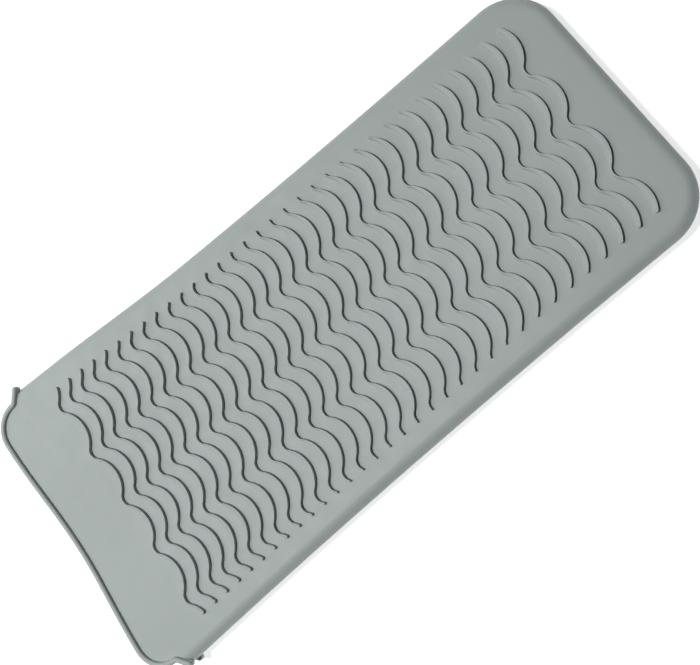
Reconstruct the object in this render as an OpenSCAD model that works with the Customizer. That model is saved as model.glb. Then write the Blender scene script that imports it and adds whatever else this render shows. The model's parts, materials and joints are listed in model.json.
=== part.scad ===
// Flat heat-resistant silicone sleeve for a hot curling iron or flat iron.
// Two ribbed panels meet in a full-round edge on three sides and stay open at the mouth.
// X runs from the mouth (-X) to the closed end (+X), Z is up, and the sleeve lies flat on Z = 0.
// The moulding is split where it flexes: one free lip and six sections along its length.

/* [Sleeve] */
// Overall length, from the mouth to the closed end
sleeve_len = 295.5; // [290:0.5:302]
// Outer width where the side edges start, next to the mouth
mouth_w = 144.5; // [140:0.5:150]
// Outer width halfway along
mid_w = 125.5; // [122:0.5:130]
// Outer width at the closed end
end_w = 113; // [108:0.5:118]
// Outer corner radius at the closed end
end_corner_r = 20; // [14:1:26]
// Thickness over the two panels, without their ribs
body_t = 9; // [8:0.5:12]
// Wall thickness of the silicone
wall_t = 1.8; // [1.4:0.1:2.2]

/* [Mouth] */
// Length of the free lip in front of its hinge line, and radius of its outer corners
lip_len = 14; // [12:1:16]
// Width of the lip, a little less than the sleeve behind it
lip_w = 136.8; // [134:0.2:140]
// How far the middle of the mouth edge is set back
lip_hollow = 1.8; // [0:0.2:4]
// Width of the bead along the mouth edge
bead_w = 2.5; // [2:0.5:5]
// Width of the tear-stop ear at each end of the bead
ear_w = 3.3; // [2.5:0.1:4]
// How far an ear stands out past the side edge
ear_proud = 0.8; // [0.5:0.1:2.5]

/* [Ribs] */
// Number of wavy ribs on each face
rib_rows = 33; // [33:1:33]
// Distance from one rib to the next
rib_pitch = 7.5; // [7.5:0.1:7.6]
// Distance from the mouth to the first rib
first_rib = 34.7; // [32:0.1:36]
// Height of the ribs and of the mouth bead
rib_h = 1.5; // [0.8:0.1:2]
// Length of one wave across the sleeve
wave_len = 25; // [20:1:30]
// Depth of the wave, from valley to crest
wave_h = 5.4; // [3:0.1:5.6]
// Share of the wave's arcs that the wide crest takes
crest_share = 0.78; // [0.6:0.01:0.85]
// Width of a rib at its crests
crest_w = 2.45; // [1.5:0.05:3]
// Width of a rib in its valleys
valley_w = 0.85; // [0.6:0.05:1]
// Plain margin between the rib ends and the side edge
rib_margin = 10.2; // [8:0.2:14]
// Extra margin, which builds up from the middle towards both ends of the sleeve
end_margin = 1.8; // [0:0.2:3]

/* [Sections] */
// Ribs on the first section, next to the mouth
first_section_ribs = 5; // [5:1:5]
// Ribs on each of the four middle sections
section_ribs = 6; // [6:1:6]
// Slit between two sections
slit = 0.3; // [0.2:0.05:0.5]

/* [Hidden] */
$fn = 64;
silicone = "#A3ADAC";

sections = 6;
edge_r = body_t / 2;
mid_z = edge_r + rib_h;
mouth_x = -sleeve_len / 2;
end_x = sleeve_len / 2;
lip_hinge_x = mouth_x + lip_len;
ear_gap = 1;
bead_gap = 2;
ear_x = lip_hinge_x + ear_gap;
edge_start_x = ear_x + ear_w;

// Half of the outer width at x: a shallow curve through the three given widths.
function half_w(x) =
    let (
        s = lip_hinge_x + 4,
        at_mouth = mouth_w / 2 * x * (x - end_x) / (s * (s - end_x)),
        at_mid = mid_w / 2 * (x - s) * (x - end_x) / (s * end_x),
        at_end = end_w / 2 * (x - s) * x / ((end_x - s) * end_x)
    )
    at_mouth + at_mid + at_end;

// Line through the middle of the full-round side edge.
function core_y(x) = half_w(x) - edge_r;

// Sections run between the lip hinge, five hinge lines and the closed end.
function rib_x(row) = mouth_x + first_rib + rib_pitch * row;
function ribs_before(i) = i <= 1 ? 0 : first_section_ribs + section_ribs * (i - 2);
function ribs_after(i) = i == sections ? rib_rows : ribs_before(i + 1);
slack = (wave_h + rib_pitch - valley_w) / 2;
function section_start(i) =
    i <= 1 ? lip_hinge_x : rib_x(ribs_before(i) - 1) + slack;
function section_end(i) = i == sections ? end_x : section_start(i + 1);

// The rounded corner of the closed end, on the middle line of the edge.
end_run = end_x - section_start(sections);
end_slope = atan((core_y(section_start(sections)) - core_y(end_x)) / end_run);
core_corner_r = end_corner_r - edge_r;
corner_x = end_x - end_corner_r;
corner_y =
    core_y(end_x) + tan(end_slope) * end_corner_r - core_corner_r / cos(end_slope);
corner_start =
    [corner_x, corner_y] + core_corner_r * [sin(end_slope), cos(end_slope)];

// One half of the mouth edge, set in by d, from the centre line round the corner,
// as far as a cut that lies a given distance in front of the lip hinge.
edge_steps = 8;
function mouth_half(d, cut) =
    let (
        shoulder = lip_w / 2 - lip_len,
        last_angle = 90 + asin(cut / (lip_len - d)),
        turn = (180 - last_angle) / edge_steps
    )
    concat(
        [
            for (s = [0:edge_steps])
                [
                    mouth_x + d + lip_hollow * (1 + cos(180 * s / edge_steps)) / 2,
                    shoulder * s / edge_steps
                ]
        ],
        [
            for (s = [1:edge_steps])
                [lip_hinge_x, shoulder]
                    + (lip_len - d) * [cos(180 - turn * s), sin(180 - turn * s)]
        ]
    );
function backwards(points) = [for (s = [len(points) - 1:-1:0]) points[s]];
function mouth_edge(d, cut) =
    let (half = mouth_half(d, cut))
    concat([for (s = [len(half) - 1:-1:1]) [half[s][0], -half[s][1]]], half);

// A wave of wide round crests and tight round valleys, with a valley on the centre line.
wave_angle = 2 * atan(2 * wave_h / wave_len);
arc_sum = wave_len / 2 / sin(wave_angle);
crest_r = crest_share * arc_sum;
valley_r = arc_sum - crest_r;
function from_valley(y) = let (v = abs(y) % wave_len) min(v, wave_len - v);
function wave(y) =
    let (v = from_valley(y), u = wave_len / 2 - v)
    v < valley_r * sin(wave_angle)
        ? valley_r - sqrt(valley_r * valley_r - v * v)
        : wave_h - crest_r + sqrt(crest_r * crest_r - u * u);

// Places along half a wave where its outline gets a point.
half_steps = concat(
    [for (s = [0, 0.5, 1]) valley_r * sin(s * wave_angle)],
    [for (s = [2 / 3, 1 / 3, 0]) wave_len / 2 - crest_r * sin(s * wave_angle)]
);
wave_steps = concat(
    half_steps,
    [for (s = [len(half_steps) - 2:-1:1]) wave_len - half_steps[s]]
);
function rib_half_len(row) =
    half_w(rib_x(row) + wave_h / 2) - rib_margin
    - end_margin * pow(rib_x(row) / end_x, 2);
function rib_stations(reach) =
    let (
        half = [
            for (w = [0:3], s = wave_steps)
                if (s + w * wave_len > 0 && s + w * wave_len < reach - 0.5)
                    s + w * wave_len
        ]
    )
    concat([-reach], [for (s = [len(half) - 1:-1:0]) -half[s]], [0], half, [reach]);
function rib_outline(row) =
    let (
        ys = rib_stations(rib_half_len(row)),
        widening = (crest_w - valley_w) / wave_h,
        front = [for (y = ys) [rib_x(row) + wave(y), y]],
        back = [for (y = ys) [rib_x(row) + wave(y) * (1 - widening) - valley_w, y]]
    )
    concat(front, backwards(back));

module front_face() {
    translate([0, 0, mid_z]) children();
}

module back_face() {
    translate([0, 0, mid_z]) mirror([0, 0, 1]) children();
}

module left_side() {
    children();
}

module right_side() {
    mirror([0, 1, 0]) children();
}

// Flat slab of one section, measured from the middle plane up.
module panel(i) {
    x0 = section_start(i) + (i == 1 ? 0 : slit / 2);
    x1 = section_end(i) - slit / 2;
    color(silicone)
    translate([0, 0, edge_r - wall_t])
    linear_extrude(wall_t)
    if (i == sections) {
        polygon([
            [x0, -core_y(x0)], [corner_start[0], -corner_start[1]],
            [corner_x, -corner_y], [end_x - edge_r, -corner_y],
            [end_x - edge_r, corner_y], [corner_x, corner_y],
            corner_start, [x0, core_y(x0)]
        ]);
        for (side = [-1, 1])
            translate([corner_x, side * corner_y]) circle(core_corner_r);
    } else {
        bends = i == 1 ? [x0, edge_start_x, x1] : [x0, x1];
        polygon(concat(
            [for (x = bends) [x, -core_y(x)]],
            backwards([for (x = bends) [x, core_y(x)]])
        ));
    }
}

// Section of the full-round edge: half a ring on the outer side.
module half_ring() {
    intersection() {
        difference() {
            circle(edge_r);
            circle(edge_r - wall_t);
        }
        translate([0, -body_t]) square(2 * body_t);
    }
}

// Side edge of one section, on the +Y side.
module side_edge(i) {
    x0 = i == 1 ? edge_start_x : section_start(i) + slit / 2;
    x1 = section_end(i) - slit / 2;
    start = [x0, core_y(x0)];
    finish = i == sections ? corner_start : [x1, core_y(x1)];
    heading = atan2(finish[1] - start[1], finish[0] - start[0]);
    overrun = i == sections ? 0 : edge_r;
    color(silicone)
    intersection() {
        translate([start[0], start[1], mid_z])
        rotate([0, 0, heading])
        translate([-edge_r, 0, 0])
        rotate([90, 0, 90])
        linear_extrude(norm(finish - start) + edge_r + overrun)
            half_ring();
        translate([x0, 0, 0])
            cube([(i == sections ? end_x : x1) - x0, mouth_w, 2 * mid_z]);
    }
}

module closed_end_edge() {
    color(silicone) {
        translate([end_x - edge_r, corner_y, mid_z])
        rotate([0, 0, -90])
        rotate([90, 0, 90])
        linear_extrude(2 * corner_y)
            half_ring();
        for (side = [0, 1])
            mirror([0, side, 0])
            translate([corner_x, corner_y, mid_z])
            rotate_extrude(angle = 90 - end_slope)
            translate([core_corner_r, 0])
                half_ring();
    }
}

// Wavy ribs of one section, standing on a panel.
module ribs(i) {
    color(silicone)
    translate([0, 0, edge_r])
    for (row = [ribs_before(i):ribs_after(i) - 1])
        linear_extrude(rib_h)
        polygon(rib_outline(row));
}

module lip(hinge_slit) {
    color(silicone)
    translate([0, 0, edge_r - wall_t])
    linear_extrude(wall_t)
    polygon(mouth_edge(0, hinge_slit));
}

module bead() {
    color(silicone)
    translate([0, 0, edge_r])
    linear_extrude(rib_h)
    polygon(concat(
        mouth_edge(0, bead_gap),
        backwards(mouth_edge(bead_w, bead_gap))
    ));
}

// Ear that ends the bead beside the first side edge, on the +Y side.
module ear() {
    inner_y = core_y(ear_x);
    tip_y = mouth_w / 2 + ear_proud;
    color(silicone)
    translate([ear_x, 0, edge_r - wall_t]) {
        translate([0, inner_y, 0])
            cube([ear_w, tip_y - ear_w / 2 - inner_y, wall_t + rib_h]);
        translate([ear_w / 2, tip_y - ear_w / 2, 0])
            cylinder(h = wall_t + rib_h, d = ear_w);
    }
}

front_face() panel(1);  // front_panel_1
front_face() panel(2);  // front_panel_2
front_face() panel(3);  // front_panel_3
front_face() panel(4);  // front_panel_4
front_face() panel(5);  // front_panel_5
front_face() panel(6);  // front_panel_6
back_face() panel(1);  // back_panel_1
back_face() panel(2);  // back_panel_2
back_face() panel(3);  // back_panel_3
back_face() panel(4);  // back_panel_4
back_face() panel(5);  // back_panel_5
back_face() panel(6);  // back_panel_6
left_side() side_edge(1);  // left_edge_1
left_side() side_edge(2);  // left_edge_2
left_side() side_edge(3);  // left_edge_3
left_side() side_edge(4);  // left_edge_4
left_side() side_edge(5);  // left_edge_5
left_side() side_edge(6);  // left_edge_6
right_side() side_edge(1);  // right_edge_1
right_side() side_edge(2);  // right_edge_2
right_side() side_edge(3);  // right_edge_3
right_side() side_edge(4);  // right_edge_4
right_side() side_edge(5);  // right_edge_5
right_side() side_edge(6);  // right_edge_6
closed_end_edge();
front_face() ribs(1);  // front_ribs_1
front_face() ribs(2);  // front_ribs_2
front_face() ribs(3);  // front_ribs_3
front_face() ribs(4);  // front_ribs_4
front_face() ribs(5);  // front_ribs_5
front_face() ribs(6);  // front_ribs_6
back_face() ribs(1);  // back_ribs_1
back_face() ribs(2);  // back_ribs_2
back_face() ribs(3);  // back_ribs_3
back_face() ribs(4);  // back_ribs_4
back_face() ribs(5);  // back_ribs_5
back_face() ribs(6);  // back_ribs_6
front_face() lip(slit);  // front_lip
back_face() lip(0);  // back_lip
front_face() bead();  // front_lip_bead
back_face() bead();  // back_lip_bead
front_face() left_side() ear();  // front_left_ear
front_face() right_side() ear();  // front_right_ear
back_face() left_side() ear();  // back_left_ear
back_face() right_side() ear();  // back_right_ear
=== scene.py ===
"""Looks of a flat, ribbed silicone sleeve for a hot styling tool, built round its CAD frame.

X runs from the open mouth to the closed end, Y across the sleeve, and Z up from the table.
Lengths are in millimetres until a mesh is made.
"""

import json
import math

import bmesh
import bpy
from mathutils import Matrix, Vector


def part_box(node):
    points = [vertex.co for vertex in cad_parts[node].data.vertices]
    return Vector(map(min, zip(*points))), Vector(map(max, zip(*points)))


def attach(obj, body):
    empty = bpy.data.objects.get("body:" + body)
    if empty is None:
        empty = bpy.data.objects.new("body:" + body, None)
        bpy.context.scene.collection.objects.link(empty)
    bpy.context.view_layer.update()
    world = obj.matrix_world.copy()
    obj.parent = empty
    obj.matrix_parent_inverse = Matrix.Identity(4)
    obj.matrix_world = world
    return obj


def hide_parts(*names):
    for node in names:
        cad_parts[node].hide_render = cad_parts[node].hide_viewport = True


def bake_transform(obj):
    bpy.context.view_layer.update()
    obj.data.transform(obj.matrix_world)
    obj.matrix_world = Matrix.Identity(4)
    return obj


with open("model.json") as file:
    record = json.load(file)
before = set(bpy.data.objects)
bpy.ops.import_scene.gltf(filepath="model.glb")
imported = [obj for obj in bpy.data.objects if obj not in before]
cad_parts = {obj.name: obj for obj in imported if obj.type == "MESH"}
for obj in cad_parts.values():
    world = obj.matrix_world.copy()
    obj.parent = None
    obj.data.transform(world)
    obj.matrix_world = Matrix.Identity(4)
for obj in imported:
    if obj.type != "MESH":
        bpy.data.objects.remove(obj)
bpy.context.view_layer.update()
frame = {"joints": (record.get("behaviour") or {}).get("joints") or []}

MM = 1000


# ---------------------------------------------------------------- sizes read from the frame


def lowest(node):
    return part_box(node)[0] * MM


def highest(node):
    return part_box(node)[1] * MM


joints = {joint["name"]: joint for joint in frame["joints"]}
hinge_x = [joints[f"bend_{i}"]["pos_m"][0] * MM for i in range(1, 6)]
lip_hinge_x = joints["lip_lift"]["pos_m"][0] * MM

mouth_x = lowest("back_lip").x
end_x = highest("closed_end_edge").x
face_z = highest("front_panel_3").z
mid_z = (face_z + lowest("back_panel_3").z) / 2
edge_r = face_z - mid_z
wall_t = face_z - lowest("front_panel_3").z
hollow_r = edge_r - wall_t
rib_h = highest("front_ribs_3").z - face_z
side_marks = [
    (lowest(f"left_edge_{i}").x, highest(f"left_edge_{i}").y) for i in (1, 3, 6)
]

# The soft sleeve bends over its whole length: one zone is centred on each hinge line.
zone_len = hinge_x[1] - hinge_x[0]
zones = [(x - zone_len / 2, x + zone_len / 2) for x in hinge_x]

# ---------------------------------------------------------------- sizes of the moulded detail

CORNER_R = 20
# How far inside the edge's middle line the flat faces start, and the distance between two loops.
SUPPORT = 1
STATION = 1.5
EDGE_STEPS = 20
FLAT_COLUMNS = 16
SAG = 4.5
CORNER_LIFT = 4.6
LIFT_FROM = (-28, -20)
LIFT_RUN = 80

LIP_JOIN = 2.5
LIP_WALL_START = 1.5
LIP_WALL_REACH = 1.4
NOTCH = 2.4
# Degrees off the faces at which the notch begins.
NOTCH_FROM = 25
BEAD_W = 2.5
LIP_HOLLOW = 1.8
BEAD_OUTER_ROUND = 1.2
BEAD_INNER_ROUND = 1
BEAD_UNDER_ROUND = 0.4
BEAD_UNDER_DEPTH = 0.1
FLARE_R = 2.5
FLARE_ANGLE = math.radians(48)
EAR_PROUD = 0.8

RIB_ROWS = 33
ZONE_RIBS = 6
WAVE_LEN = 25
WAVE_H = 5.4
CREST_SHARE = 0.78
CREST_W = 2.45
VALLEY_W = 0.85
RIB_MARGIN = 10.2
END_MARGIN = 1.8
RIB_SINK = 0.2
RIB_FILLET = 0.25
RIB_SOFT_ROUND = 0.6
RIB_CRISP_ROUND = 0.08
RIB_LEAN = 0.22
RIB_DRAFT = 0.04
MOST_INSET = 0.9
TIP_CLEARANCE = 0.3


def half_width(x):
    """Half of the outer width at x: the shallow curve through three places on the side edge."""
    total = 0
    for i, (xi, yi) in enumerate(side_marks):
        share = yi
        for j, (xj, _) in enumerate(side_marks):
            if j != i:
                share *= (x - xj) / (xi - xj)
        total += share
    return total


def core_y(x):
    """Line through the middle of the full-round side edge."""
    return half_width(x) - edge_r


def steps(start, stop, count):
    return [start + (stop - start) * k / count for k in range(count + 1)]


def smooth(t):
    t = min(max(t, 0), 1)
    return t * t * (3 - 2 * t)


def sag(x, y):
    """How far the soft front face hangs into the pocket: held all round, deepest in the middle."""
    across = max(1 - (y / core_y(x)) ** 2, 0)
    along = (1 + math.cos(math.pi * x / end_x)) / 2
    return SAG * across * along


def corner_lift(x, y):
    """How far the soft sheet curls up off the table at the mouth's left corner."""
    from_x, from_y = LIFT_FROM
    return CORNER_LIFT * smooth((from_x - x) / LIFT_RUN) * smooth((y - from_y) / LIFT_RUN)


# ---------------------------------------------------------------- mesh helpers


def make_piece(name, verts, faces, crease=38):
    """A closed, smooth-shaded mesh object from points in mm, settled as the soft sleeve lies."""
    settled = []
    for x, y, z in verts:
        drop = sag(x, y) if z > mid_z else 0
        settled.append((x, y, z - drop + corner_lift(x, y)))
    mesh = bpy.data.meshes.new(name)
    mesh.from_pydata([Vector(v) / MM for v in settled], [], faces)
    shell = bmesh.new()
    shell.from_mesh(mesh)
    bmesh.ops.recalc_face_normals(shell, faces=shell.faces)
    shell.to_mesh(mesh)
    shell.free()
    mesh.shade_smooth()
    mesh.set_sharp_from_angle(angle=math.radians(crease))
    piece = bpy.data.objects.new(name, mesh)
    bpy.context.scene.collection.objects.link(piece)
    mesh.materials.append(silicone)
    return piece


def join_loops(first, second, count):
    """Quads between two closed loops of points that start at these indices."""
    return [
        (first + i, first + (i + 1) % count, second + (i + 1) % count, second + i)
        for i in range(count)
    ]


def on_back(points):
    """The same points on the back face."""
    return [(x, y, 2 * mid_z - z) for x, y, z in points]


# ---------------------------------------------------------------- sleeve wall

EDGE_ANGLES = [math.radians(a) for a in steps(0, 180, EDGE_STEPS)]
FLAT_SHARES = steps(1, -1, FLAT_COLUMNS)


def full_loop(left_edge, support):
    """Closed loop round the sleeve: down the left edge, back face, up the right edge, front face."""
    front_z, back_z = left_edge[0][2], left_edge[-1][2]
    x, y = support
    back = [(x, share * y, back_z) for share in FLAT_SHARES]
    right_edge = [(px, -py, pz) for px, py, pz in reversed(left_edge)]
    front = [(x, share * y, front_z) for share in reversed(FLAT_SHARES)]
    return left_edge + back + right_edge + front


def corner_loop(core, turn, radius):
    """Loop whose edges point outward at an angle from the left side towards the closed end."""
    outward = Vector((math.sin(turn), math.cos(turn)))
    left_edge = []
    for a in EDGE_ANGLES:
        place = core + outward * radius * math.sin(a)
        left_edge.append((place.x, place.y, mid_z + radius * math.cos(a)))
    return full_loop(left_edge, core - outward * SUPPORT)


def side_loop(x, radius, shift=None):
    """Loop straight across the sleeve; shift gives how far a point of the edge is moved along X."""
    left_edge = []
    for a in EDGE_ANGLES:
        at = x + (shift(a) if shift else 0)
        left_edge.append(
            (at, core_y(at) + radius * math.sin(a), mid_z + radius * math.cos(a))
        )
    return full_loop(left_edge, (x, core_y(x) - SUPPORT))


def tube(name, loops):
    """Hollow tube from loops in order along its outside, back along its inside, and closed."""
    count = len(loops[0])
    verts = [point for loop in loops for point in loop]
    faces = []
    for k in range(len(loops)):
        faces += join_loops(k * count, (k + 1) % len(loops) * count, count)
    return make_piece(name, verts, faces)


def notch(a):
    """Share of the tear-stop notch at an angle down the edge: none on the faces, full at mid height."""
    off_middle = abs(math.degrees(a) - 90)
    return smooth((90 - NOTCH_FROM - off_middle) / (90 - NOTCH_FROM))


lip_join_x = lip_hinge_x + LIP_JOIN


def mouth_sleeve():
    """First zone, with the start of the side edges: a notch with a rounded rim beside each ear."""
    stop = zones[0][1]
    count = round((stop - lip_join_x) / STATION)
    rounding = wall_t / 2

    def loop(t, radius, rim):
        return side_loop(
            lip_join_x + (stop - lip_join_x) * t,
            radius,
            lambda a: (1 - t) * notch(a) * (NOTCH + rim),
        )

    outer = [loop(t, edge_r, rounding) for t in steps(0, 1, count)]
    inner = [loop(t, hollow_r, rounding) for t in steps(1, 0, count)]
    rim = []
    for turn in steps(-90, 90, 8)[1:-1]:
        c, s = math.cos(math.radians(turn)), math.sin(math.radians(turn))
        radius = hollow_r + rounding * (1 + s)
        rim.append(loop(0, radius, rounding * (1 - c)))
    return tube("sleeve_wall_1", outer + inner + rim)


def sleeve_zone(number):
    start, stop = zones[number - 1]
    count = round((stop - start) / STATION)
    outer = [side_loop(x, edge_r) for x in steps(start, stop, count)]
    inner = [side_loop(x, hollow_r) for x in steps(stop, start, count)]
    return tube(f"sleeve_wall_{number}", outer + inner)


def closed_end_stations():
    """Middle line of the edge, as (place, turn): along the side, then round the corner."""
    core_corner_r = CORNER_R - edge_r
    corner_x = end_x - CORNER_R
    slope = math.atan(core_y(corner_x) - core_y(corner_x + 1))
    start_x = corner_x + core_corner_r * math.sin(slope)
    centre = Vector(
        (corner_x, core_y(start_x) - core_corner_r * math.cos(slope))
    )
    stations = [
        (Vector((x, core_y(x))), 0) for x in steps(zones[-1][1], start_x, 3)[:-1]
    ]
    for turn in steps(slope, math.pi / 2, 20):
        outward = Vector((math.sin(turn), math.cos(turn)))
        stations.append((centre + outward * core_corner_r, turn))
    return stations


def end_shell(stations, radius, base):
    """Points and faces of one skin of the closed end; base is the index of its first point."""
    loops = [corner_loop(core, turn, radius) for core, turn in stations]
    count = len(loops[0])
    verts = [point for loop in loops for point in loop]
    faces = []
    for k in range(len(loops) - 1):
        faces += join_loops(base + k * count, base + (k + 1) * count, count)

    # The straight edge across the end, from the last loop's left edge to its right edge.
    last = base + (len(loops) - 1) * count
    edge_count, flat_count = len(EDGE_ANGLES), len(FLAT_SHARES)
    left = [last + k for k in range(edge_count)]
    right = [last + 2 * edge_count + flat_count - 1 - k for k in range(edge_count)]
    front = [last + count - 1 - k for k in range(flat_count)]
    back = [last + edge_count + k for k in range(flat_count)]
    rows = [front]
    for k, point in enumerate(loops[-1][:edge_count]):
        x, y, z = point
        first_new = base + len(verts)
        verts += [(x, share * y, z) for share in FLAT_SHARES[1:-1]]
        new = [first_new + n for n in range(flat_count - 2)]
        rows.append([left[k], *new, right[k]])
    rows.append(back)
    for upper, lower in zip(rows, rows[1:]):
        for k in range(flat_count - 1):
            faces.append((upper[k], upper[k + 1], lower[k + 1], lower[k]))
    return verts, faces, count


def closed_end():
    stations = closed_end_stations()
    verts, faces, count = end_shell(stations, edge_r, 0)
    inner_base = len(verts)
    inner_verts, inner_faces, _ = end_shell(stations, hollow_r, inner_base)
    faces += inner_faces + join_loops(0, inner_base, count)
    return make_piece("closed_end", verts + inner_verts, faces)


# ---------------------------------------------------------------- lips, beads and ears

shoulder_y = highest("back_lip").y - (lip_hinge_x - mouth_x)
bead_path_r = lip_hinge_x - mouth_x - BEAD_W / 2


def mouth_line(y):
    """Middle line of the bead along the mouth: set back a little in the middle."""
    set_back = LIP_HOLLOW * (1 + math.cos(math.pi * y / shoulder_y)) / 2
    return mouth_x + BEAD_W / 2 + set_back


def bead_half_path():
    """Middle line of the bead, from the centre line round the corner and out to the ear's tip."""
    path = [Vector((mouth_line(y), y)) for y in steps(0, shoulder_y, 16)]
    centre = Vector((lip_hinge_x, shoulder_y))
    for turn in steps(0, math.pi / 2, 18)[1:]:
        outward = Vector((-math.cos(turn), math.sin(turn)))
        path.append(centre + outward * bead_path_r)
    flare_centre = path[-1] + Vector((0, FLARE_R))
    for turn in steps(0, FLARE_ANGLE, 7)[1:]:
        outward = Vector((math.sin(turn), -math.cos(turn)))
        path.append(flare_centre + outward * FLARE_R)
    heading = Vector((math.cos(FLARE_ANGLE), math.sin(FLARE_ANGLE)))
    ear_start = path[-1]
    tip_y = half_width(lip_hinge_x) + EAR_PROUD - BEAD_W / 2
    ear_len = (tip_y - ear_start.y) / heading.y
    path += [ear_start + heading * ear_len * k / 4 for k in (1, 2, 3, 4)]
    return path


def bar(path, half_widths, levels, tip_steps=4, lean=0, back=False):
    """Closed bar with round ends along a path, one loop of points for each level.

    A level is (inset left, inset right, z left, z right). A lean lowers the left side of the
    top, by that share of the bar's width.
    """
    n = len(path)
    verts, count = [], 0
    normals, tangents = [], []
    for i in range(n):
        along = (path[min(i + 1, n - 1)] - path[max(i - 1, 0)]).normalized()
        tangents.append(along)
        normals.append(Vector((-along.y, along.x)))
    turns = steps(0, math.pi, 2 * tip_steps)

    def beside(i, outward, share, level):
        """Point of a level beside path point i; share runs from 0 on the left to 1 on the right."""
        left_in, right_in, left_z, right_z = level
        inset = min(left_in + (right_in - left_in) * share, MOST_INSET * half_widths[i])
        place = path[i] + outward * (half_widths[i] - inset)
        leaning = lean * max(left_z - face_z, 0) / rib_h
        low_z = left_z - leaning * 2 * half_widths[i]
        return place.x, place.y, low_z + (right_z - low_z) * share

    for level in levels:
        loop = [beside(i, normals[i], 0, level) for i in range(n - 1)]
        for turn in turns:
            outward = normals[-1] * math.cos(turn) + tangents[-1] * math.sin(turn)
            loop.append(beside(n - 1, outward, (1 - math.cos(turn)) / 2, level))
        loop += [beside(i, -normals[i], 1, level) for i in reversed(range(1, n - 1))]
        for turn in turns[:-1]:
            outward = -normals[0] * math.cos(turn) - tangents[0] * math.sin(turn)
            loop.append(beside(0, outward, (1 + math.cos(turn)) / 2, level))
        verts += loop
        count = len(loop)
    faces = []
    for k in range(len(levels) - 1):
        faces += join_loops(k * count, (k + 1) * count, count)
    faces += bar_cap(n, len(turns) - 2, 0)
    faces += bar_cap(n, len(turns) - 2, (len(levels) - 1) * count)
    if back:
        verts = on_back(verts)
    return verts, faces


def bar_cap(n, tip_count, base):
    """Quads and two end triangles that fill one level of a bar."""
    count = 2 * n + 2 * tip_count
    start = 2 * n + tip_count + tip_count // 2
    half = count // 2
    one = [base + (start + k) % count for k in range(1, half)]
    other = [base + (start - k) % count for k in range(1, half)]
    faces = [(base + start, one[0], other[0])]
    faces += [
        (one[k], one[k + 1], other[k + 1], other[k]) for k in range(half - 2)
    ]
    faces.append((one[-1], base + (start + half) % count, other[-1]))
    return faces


def mouth_bead(name, back):
    """Bead along one lip with an ear at each end."""
    half = bead_half_path()
    path = [Vector((p.x, -p.y)) for p in reversed(half[1:])] + half
    top = face_z + rib_h
    bottom = face_z - wall_t - BEAD_UNDER_DEPTH

    def rounded(z, radius):
        rise = max(z - top + radius, 0)
        return radius - math.sqrt(max(radius * radius - rise * rise, 0))

    def under(z):
        drop = max(bottom + BEAD_UNDER_ROUND - z, 0)
        return BEAD_UNDER_ROUND - math.sqrt(max(BEAD_UNDER_ROUND**2 - drop * drop, 0))

    def foot(z):
        lift = min(max(z - face_z, 0), RIB_FILLET)
        rest = RIB_FILLET - lift
        return RIB_FILLET - math.sqrt(max(RIB_FILLET**2 - rest * rest, 0))

    heights = [bottom + d for d in (0, 0.04, 0.12, 0.24, 0.4)]
    heights += [face_z - RIB_SINK, face_z]
    heights += [face_z + RIB_FILLET * k / 3 for k in (1, 2, 3)]
    heights += [top - d for d in (1.15, 1, 0.8, 0.6, 0.42, 0.28, 0.17, 0.09, 0.03, 0)]
    levels = []
    for z in heights:
        outer_in = rounded(z, BEAD_OUTER_ROUND) + under(z)
        inner_in = rounded(z, BEAD_INNER_ROUND) + under(z) - foot(z)
        levels.append((outer_in, inner_in, z, z))
    widths = [BEAD_W / 2] * len(path)
    return make_piece(name, *bar(path, widths, levels, tip_steps=8, back=back))


def lip_wall(name, back):
    """Wall of one lip, from inside its bead to the start of the sleeve."""
    last_y = core_y(lip_join_x) + LIP_WALL_REACH
    half = [(mouth_line(y), y) for y in steps(0, shoulder_y, 10)]
    for turn in steps(0, math.pi / 2, 16)[1:]:
        x = lip_hinge_x - bead_path_r * math.cos(turn)
        half.append((x, shoulder_y + bead_path_r * math.sin(turn)))
    half.append((lip_hinge_x + LIP_WALL_START, last_y))
    front = [(x, -y) for x, y in reversed(half[1:])] + half
    rows = 12

    def height(x, y, radius):
        over = max(abs(y) - core_y(x), 0)
        return math.sqrt(radius * radius - over * over)

    verts, faces = [], []
    for radius in (edge_r, hollow_r):
        for x0, y in front:
            for x in steps(x0, lip_join_x, rows):
                verts.append((x, y, mid_z + height(lip_join_x, y, radius)))
    columns, per_column = len(front), rows + 1
    skin = columns * per_column
    for c in range(columns - 1):
        for r in range(rows):
            a = c * per_column + r
            faces.append((a, a + 1, a + 1 + per_column, a + per_column))
            b = a + skin
            faces.append((b, b + per_column, b + 1 + per_column, b + 1))
        for r in (0, rows):
            a = c * per_column + r
            faces.append((a, a + per_column, a + per_column + skin, a + skin))
    for c in (0, columns - 1):
        for r in range(rows):
            a = c * per_column + r
            faces.append((a, a + 1, a + 1 + skin, a + skin))
    if back:
        verts = on_back(verts)
    return make_piece(name, verts, faces)


# ---------------------------------------------------------------- wavy ribs

rib_pitch = zone_len / ZONE_RIBS
first_rib_x = lowest("front_ribs_1").x + VALLEY_W
wave_angle = 2 * math.atan(2 * WAVE_H / WAVE_LEN)
arc_sum = WAVE_LEN / 2 / math.sin(wave_angle)
crest_r = CREST_SHARE * arc_sum
valley_r = arc_sum - crest_r


def wave(y):
    """Wide round crests and tight round valleys, with a valley on the centre line."""
    v = abs(y) % WAVE_LEN
    v = min(v, WAVE_LEN - v)
    if v < valley_r * math.sin(wave_angle):
        return valley_r - math.sqrt(valley_r**2 - v * v)
    u = WAVE_LEN / 2 - v
    return WAVE_H - crest_r + math.sqrt(crest_r**2 - u * u)


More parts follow.
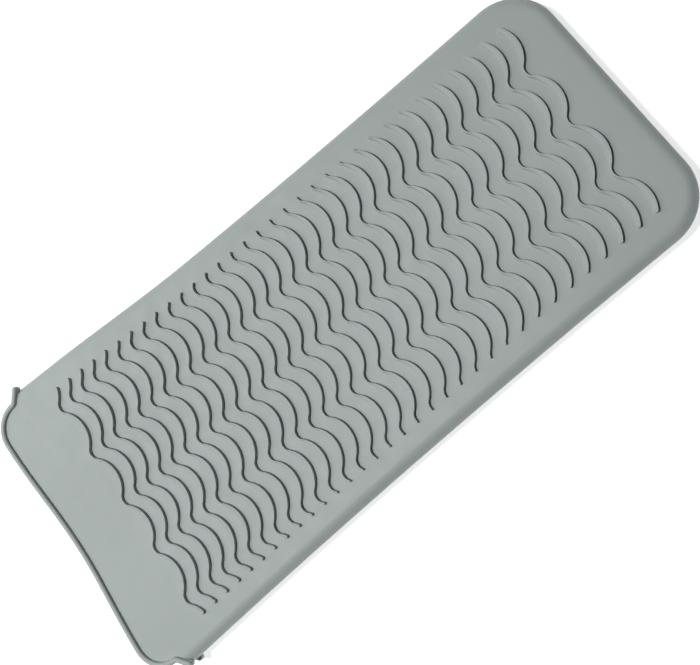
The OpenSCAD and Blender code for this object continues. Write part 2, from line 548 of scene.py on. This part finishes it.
def wave_places(reach):
    """Places across from -reach to reach, closer together where the wave turns tightly."""
    half_wave = [valley_r * math.sin(a) for a in steps(0, wave_angle, 6)]
    half_wave += [
        WAVE_LEN / 2 - crest_r * math.sin(a) for a in steps(wave_angle, 0, 8)[1:]
    ]
    one_wave = half_wave + [WAVE_LEN - v for v in reversed(half_wave[1:-1])]
    half = [w * WAVE_LEN + v for w in range(4) for v in one_wave]
    half = [y for y in half if y < reach - TIP_CLEARANCE] + [reach]
    return [-y for y in reversed(half[1:])] + half


def rib(row):
    """Middle line and half widths of one rib."""
    x = first_rib_x + rib_pitch * row
    widening = (CREST_W - VALLEY_W) / WAVE_H
    margin = RIB_MARGIN + END_MARGIN * (x / end_x) ** 2
    reach = half_width(x + WAVE_H / 2) - margin
    tip = (VALLEY_W + widening * wave(reach)) / 2
    path, half_widths = [], []
    for y in wave_places(reach - tip):
        across = VALLEY_W + widening * wave(y)
        slope = (wave(y + 0.01) - wave(y - 0.01)) / 0.02
        path.append(Vector((x + wave(y) - across / 2, y)))
        half_widths.append(across / 2 / math.sqrt(1 + slope * slope))
    return path, half_widths


def rib_levels():
    """Fillet at the foot, steep walls, and a soft rim towards the mouth but a crisp one behind."""
    levels = []
    for inset, z in ((-RIB_FILLET, face_z - RIB_SINK), (-RIB_FILLET, face_z)):
        levels.append((inset, inset, z, z))
    for a in (30, 60, 90):
        s, c = math.sin(math.radians(a)), math.cos(math.radians(a))
        inset, z = -RIB_FILLET * (1 - s), face_z + RIB_FILLET * (1 - c)
        levels.append((inset, inset, z, z))
    top = face_z + rib_h
    for a in (0, 22.5, 45, 67.5, 90):
        s, c = math.sin(math.radians(a)), math.cos(math.radians(a))
        insets = [RIB_DRAFT + r * (1 - c) for r in (RIB_SOFT_ROUND, RIB_CRISP_ROUND)]
        heights = [top - r * (1 - s) for r in (RIB_SOFT_ROUND, RIB_CRISP_ROUND)]
        levels.append((*insets, *heights))
    return levels


def wave_ribs(name, rows, back):
    verts, faces = [], []
    for row in rows:
        path, half_widths = rib(row)
        more_verts, more_faces = bar(
            path, half_widths, rib_levels(), lean=RIB_LEAN, back=back
        )
        base = len(verts)
        verts += more_verts
        faces += [tuple(base + i for i in face) for face in more_faces]
    return make_piece(name, verts, faces)


# ---------------------------------------------------------------- silicone


def silicone_material():
    """Matte grey silicone: a fine moulded grain, faint tone changes and a soft dusty sheen."""
    material = bpy.data.materials.new("grey_silicone")
    material.use_nodes = True
    nodes, links = material.node_tree.nodes, material.node_tree.links
    shader = nodes["Principled BSDF"]
    shader.inputs["Metallic"].default_value = 0
    shader.inputs["IOR"].default_value = 1.41
    shader.inputs["Specular IOR Level"].default_value = 0.4
    shader.inputs["Sheen Weight"].default_value = 0.06
    shader.inputs["Sheen Roughness"].default_value = 0.5

    place = nodes.new("ShaderNodeTexCoord")

    def noise(scale, detail, roughness=0.5):
        node = nodes.new("ShaderNodeTexNoise")
        node.inputs["Scale"].default_value = scale
        node.inputs["Detail"].default_value = detail
        node.inputs["Roughness"].default_value = roughness
        links.new(place.outputs["Object"], node.inputs["Vector"])
        return node.outputs["Fac"]

    def spread(value, low, high):
        node = nodes.new("ShaderNodeMapRange")
        node.inputs["From Min"].default_value = 0.3
        node.inputs["From Max"].default_value = 0.7
        node.inputs["To Min"].default_value = low
        node.inputs["To Max"].default_value = high
        links.new(value, node.inputs["Value"])
        return node.outputs["Result"]

    tone = nodes.new("ShaderNodeMix")
    tone.data_type = "RGBA"
    tone.inputs["A"].default_value = (0.373, 0.417, 0.407, 1)
    tone.inputs["B"].default_value = (0.387, 0.433, 0.423, 1)
    links.new(spread(noise(38, 4), 0, 1), tone.inputs["Factor"])
    links.new(tone.outputs["Result"], shader.inputs["Base Color"])
    links.new(spread(noise(160, 3), 0.5, 0.62), shader.inputs["Roughness"])

    grain = nodes.new("ShaderNodeBump")
    grain.inputs["Strength"].default_value = 0.25
    grain.inputs["Distance"].default_value = 0.00006
    links.new(noise(2600, 3, 0.6), grain.inputs["Height"])
    links.new(grain.outputs["Normal"], shader.inputs["Normal"])
    return material


silicone = silicone_material()

# ---------------------------------------------------------------- build the object


def across_zone(piece):
    """Bakes the piece's placement into its mesh; the piece is not tied to a hinge line."""
    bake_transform(piece)


def across_lip(piece):
    """Bakes the piece's placement into its mesh; the piece does not lift at the mouth edge."""
    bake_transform(piece)


def build_sleeve():
    for number in range(1, 6):
        piece = mouth_sleeve() if number == 1 else sleeve_zone(number)
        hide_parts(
            f"front_panel_{number}",
            f"back_panel_{number}",
            f"left_edge_{number}",
            f"right_edge_{number}",
        )
        across_zone(piece)
    end = closed_end()
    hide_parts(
        "front_panel_6",
        "back_panel_6",
        "left_edge_6",
        "right_edge_6",
        "closed_end_edge",
    )
    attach(end, "section_6")


def build_ribs(side):
    first = 0
    for number in range(1, 7):
        zone_end = zones[number - 1][1] if number < 6 else end_x
        last = first
        while last < RIB_ROWS and first_rib_x + rib_pitch * last + WAVE_H < zone_end:
            last += 1
        name = f"{side}_wave_ribs_{number}"
        piece = wave_ribs(name, range(first, last), side == "back")
        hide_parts(f"{side}_ribs_{number}")
        if number < 6:
            across_zone(piece)
        else:
            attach(piece, "section_6")
        first = last


def build_lip(side):
    wall = lip_wall(f"{side}_lip_wall", side == "back")
    bead = mouth_bead(f"{side}_mouth_bead", side == "back")
    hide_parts(f"{side}_lip")
    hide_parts(f"{side}_lip_bead", f"{side}_left_ear", f"{side}_right_ear")
    for piece in (wall, bead):
        if side == "front":
            across_lip(piece)
        else:
            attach(piece, "section_1")


build_sleeve()
for side in ("front", "back"):
    build_ribs(side)
    build_lip(side)

# ---------------------------------------------------------------- floor, light and camera

CAMERA_PLACE = Vector((0.1049, -0.0873, 0.3309))
CAMERA_TARGET = Vector((0.0142, -0.0075, 0.012))
CAMERA_ROLL = math.radians(-86.86)
LENS = 44.73


def make_camera():
    camera = bpy.data.objects.new("camera", bpy.data.cameras.new("camera"))
    bpy.context.scene.collection.objects.link(camera)
    camera.data.lens = LENS
    camera.data.sensor_width = 36
    camera.data.clip_start = 0.01
    camera.data.clip_end = 50
    aim = (CAMERA_TARGET - CAMERA_PLACE).to_track_quat("-Z", "Y").to_matrix()
    turn = Matrix.Rotation(CAMERA_ROLL, 3, "Z")
    camera.matrix_world = Matrix.Translation(CAMERA_PLACE) @ (aim @ turn).to_4x4()
    bpy.context.scene.camera = camera


def make_floor():
    mesh = bpy.data.meshes.new("floor")
    half = 8
    corners = [(-half, -half), (half, -half), (half, half), (-half, half)]
    mesh.from_pydata([(x, y, -0.0002) for x, y in corners], [], [(0, 1, 2, 3)])
    floor = bpy.data.objects.new("floor", mesh)
    bpy.context.scene.collection.objects.link(floor)
    material = bpy.data.materials.new("white_table")
    material.use_nodes = True
    shader = material.node_tree.nodes["Principled BSDF"]
    shader.inputs["Base Color"].default_value = (0.86, 0.86, 0.86, 1)
    shader.inputs["Roughness"].default_value = 0.9
    shader.inputs["Specular IOR Level"].default_value = 0.1
    shader.inputs["Emission Color"].default_value = (1, 1, 1, 1)
    shader.inputs["Emission Strength"].default_value = 0.65
    mesh.materials.append(material)


KEY_PLACE = Vector((-0.52, 0.26, 1.5))
KEY_AIM = Vector((-0.9, 0.26, 0))
KEY_SIZE = 0.4
KEY_WATTS = 22
SIDE_PLACE = Vector((-0.72, 0.57, 0.77))
SIDE_AIM = Vector((0, 0, 0))
SIDE_SIZE = 0.8
SIDE_WATTS = 3.8


def make_lamp(name, place, aim, size, watts):
    lamp = bpy.data.objects.new(name, bpy.data.lights.new(name, "AREA"))
    bpy.context.scene.collection.objects.link(lamp)
    lamp.data.shape = "DISK"
    lamp.data.size = size
    lamp.data.energy = watts
    lamp.location = place
    lamp.rotation_mode = "QUATERNION"
    lamp.rotation_quaternion = (aim - place).to_track_quat("-Z", "Y")


def make_light():
    """A lamp high over the mouth, aimed past it, a broad one from the side, and a faint fill."""
    make_lamp("key", KEY_PLACE, KEY_AIM, KEY_SIZE, KEY_WATTS)
    make_lamp("side", SIDE_PLACE, SIDE_AIM, SIDE_SIZE, SIDE_WATTS)

    world = bpy.data.worlds.new("studio")
    bpy.context.scene.world = world
    world.use_nodes = True
    background = world.node_tree.nodes["Background"]
    background.inputs["Color"].default_value = (1, 1, 1, 1)
    background.inputs["Strength"].default_value = 0.06


make_camera()
make_floor()
make_light()
bpy.context.scene.view_settings.view_transform = "Standard"
